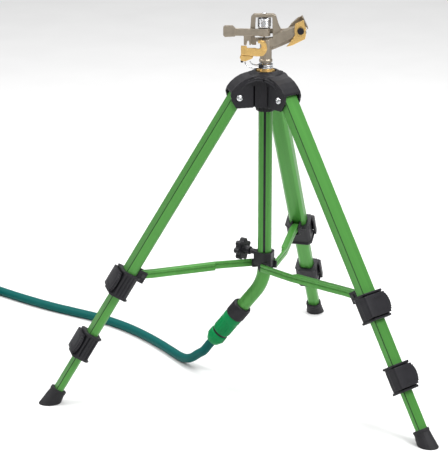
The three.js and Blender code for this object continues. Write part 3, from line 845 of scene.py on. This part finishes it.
# -------------------------------------------------------- tube and connector
def make_water_tube():
    """A straight green tube with a bend at its foot, and a black strip of painted shade down its
    front.
    """
    points = [Vector((0, 0, TUBE_TOP - 12 * i)) for i in range(29)] + [Vector((0, 0, BEND_START))]
    for i in range(1, 13):
        angle = bend_turn * i / 12
        points.append(Vector((BEND_RADIUS * (1 - math.cos(angle)), 0,
                              BEND_START - BEND_RADIUS * math.sin(angle))))
    last = points[-1]
    along = Vector((math.cos(math.radians(INLET_DROP)), 0, -math.sin(math.radians(INLET_DROP))))
    end = Vector((INLET_OUT, 0, INLET_Z)) + along * 13
    points += [last.lerp(end, k / 4) for k in range(1, 5)]
    tube = tube_along(points, TUBE_RADIUS, 48)
    settle(tube, "standpipe", ELBOW, "hub", ANODISED, "water_tube")
    # A black strip down the tube's front: painted shade for the dark stripe along it, not a real
    # part.
    strip = block((TUBE_RADIUS - 1, TUBE_RADIUS + 0.12), (-STRIP_HALF, STRIP_HALF),
                  (STRIP_LOW, STRIP_HIGH))
    settle(bevel(strip, 0.1, 2), "painted_shade_strip", turn("Z", SHADE_STRIP_AZIMUTH), "hub", BLACK)


def ribbed(profile, ribs, radius, rise, low, high, half_width):
    """A turned shape with a ring of straight ribs that stand out of it."""
    parts = [bevel(revolve(profile, 72), 0.5, 2)]
    for i in range(ribs):
        rib = block((radius - 1.5, radius + rise), (-half_width, half_width), (low, high))
        rib.data.transform(turn("Z", 360 * i / ribs))
        parts.append(rib)
    return join(parts)


def make_connector():
    """Adapter nut, push-fit sleeve, seal ring and end nut, one after another down the inlet."""
    nut = ribbed([(9, 15), (9, 28), (17.6, 28), (18, 27), (18, 4), (17, 1.2), (15.5, 0),
                  (12.8, 0), (12.8, 15)], 36, 17.6, 0.7, 4, 26, 0.55)
    settle(nut, "adapter", INLET, "hub", BLACK, "adapter_nut")
    sleeve = ribbed([(11, 28.3), (17.2, 28.3), (17.6, 29.2), (17.6, 38), (16.9, 42), (16.6, 70),
                     (16.2, 72), (11, 72)], 20, 16.4, 0.9, 44, 69, 1.1)
    settle(sleeve, "grip_sleeve", INLET, "hub", FITTING_GREEN, "connector_sleeve")
    groove = bevel(revolve([(9, 72.3), (15.4, 72.3), (15.4, 76), (9, 76)], 72), 0.3, 2)
    settle(groove, "seal_ring", INLET, "hub", BLACK, "connector_ring")
    end_nut = ribbed([(8.7, 76.3), (16.2, 76.3), (17, 77.2), (17, 90), (15, 95), (12.4, 100.3),
                      (8.7, 100.3)], 18, 16.6, 0.8, 78, 90, 1.2)
    settle(end_nut, "end_nut", INLET, "hub", FITTING_GREEN, "connector_nut")


make_water_tube()
make_connector()


# --------------------------------------------------------------------- head
ARM_PIVOT_X = -3
PIN_FOOT, PIN_NECK, PIN_TOP = 651.5, 695.4, 697.2


def cast_head(node, name, body, material, voxel):
    piece = melt(cad_copy(node, HEAD), voxel, 3, 0.4)
    settle(piece, name, HEAD, body, material, node, smooth_angle=60)


def make_friction_collar(which, bottom, wire):
    """A sprung ring with a bent wire that the trip finger meets."""
    band = bevel(revolve([(8.3, bottom), (12.8, bottom), (12.8, bottom + 3.2),
                          (8.3, bottom + 3.2)], 56), 0.6, 3)
    piece = join([band, tube_along(smooth_path(wire, 8), 1.0, 14)])
    settle(piece, f"{which}_stop_wire", HEAD, f"{which}_friction_ring", STEEL,
           f"{which}_friction_collar")


def helix(radius, low, high, turns, wire, centre_x=0.0):
    points = []
    count = int(turns * 28)
    for i in range(count + 1):
        angle = 2 * math.pi * turns * i / count
        points.append((centre_x + radius * math.cos(angle), radius * math.sin(angle),
                       low + (high - low) * i / count))
    return tube_along(points, wire, 10)


def make_head():
    cast_head("head_body", "head_casting", "head", ZINC, 0.45)
    cast_head("drive_arm", "impact_arm", "arm", ZINC, 0.45)
    cast_head("deflector", "deflector_plate", "deflector", BRASS, 0.4)
    cast_head("trip_lever", "trip_lever_casting", "trip", BRASS, 0.4)
    cast_head("trip_finger", "trip_finger_casting", "trip", BRASS, 0.35)
    settle(bevel(cad_copy("base_nut", HEAD), 0.6, 3), "hex_nut", HEAD, "hub", BRASS, "base_nut")
    pipe = bevel(revolve([(5.5, 587), (8, 587), (8, 633), (5.5, 633)], 48), 0.3, 2)
    settle(pipe, "bearing_pipe", HEAD, "hub", BRASS, "bearing_tube")
    make_friction_collar("lower", 598.4, [(-11, -3, 600), (-19, -6, 599.4), (-28, -9, 601),
                                          (-35, -9, 605.5), (-37, -8, 610.5)])
    make_friction_collar("upper", 602.2, [(-11, -1, 603.8), (-18, -6, 604.5), (-25, -9, 607.5),
                                          (-28, -9, 611.8)])
    pad = bevel(block((-12.5, -5.5), (-15.6, -10.6), (600.2, 606.6)), 0.6, 2)
    settle(pad, "stop_pad", HEAD, "upper_friction_ring", BLACK)
    tip = bevel(block((-44.5, -39.5), (-17.8, -13), (611.2, 616.2)), 1.2, 3)
    settle(tip, "trip_finger_tip", HEAD, "trip", BLACK)
    settle(helix(9.3, 606.6, 607.9, 1.6, 0.7), "seat_spring", HEAD, "hub", STEEL, "bearing_spring")
    coil = helix(10.6, 671.3, 687.2, 6.5, 1.25, ARM_PIVOT_X)
    settle(coil, "return_spring", HEAD, "head", STEEL, "arm_spring")
    pin = bevel(revolve([(0, PIN_FOOT), (1.6, PIN_FOOT), (1.6, PIN_NECK), (4, PIN_NECK), (4, 696.6),
                         (2.4, PIN_TOP), (0, PIN_TOP)], 40), 0.2, 2)
    pin.data.transform(Matrix.Translation((ARM_PIVOT_X, 0, 0)))
    settle(pin, "pivot_pin", HEAD, "head", STEEL, "fulcrum_pin")
    settle(bevel(cad_copy("nozzle", HEAD), 0.3, 2), "jet", HEAD, "head", BRASS, "nozzle")
    screw = melt(cad_copy("deflector_screw", HEAD), 0.35, 3, 0.5)
    settle(screw, "range_screw", HEAD, "deflector", BLACK, "deflector_screw", smooth_angle=60)
    rivet = melt(cad_copy("trip_pin", HEAD), 0.3, 3, 0.5)
    settle(rivet, "trip_rivet", HEAD, "head", BRASS, "trip_pin", smooth_angle=60)


make_head()
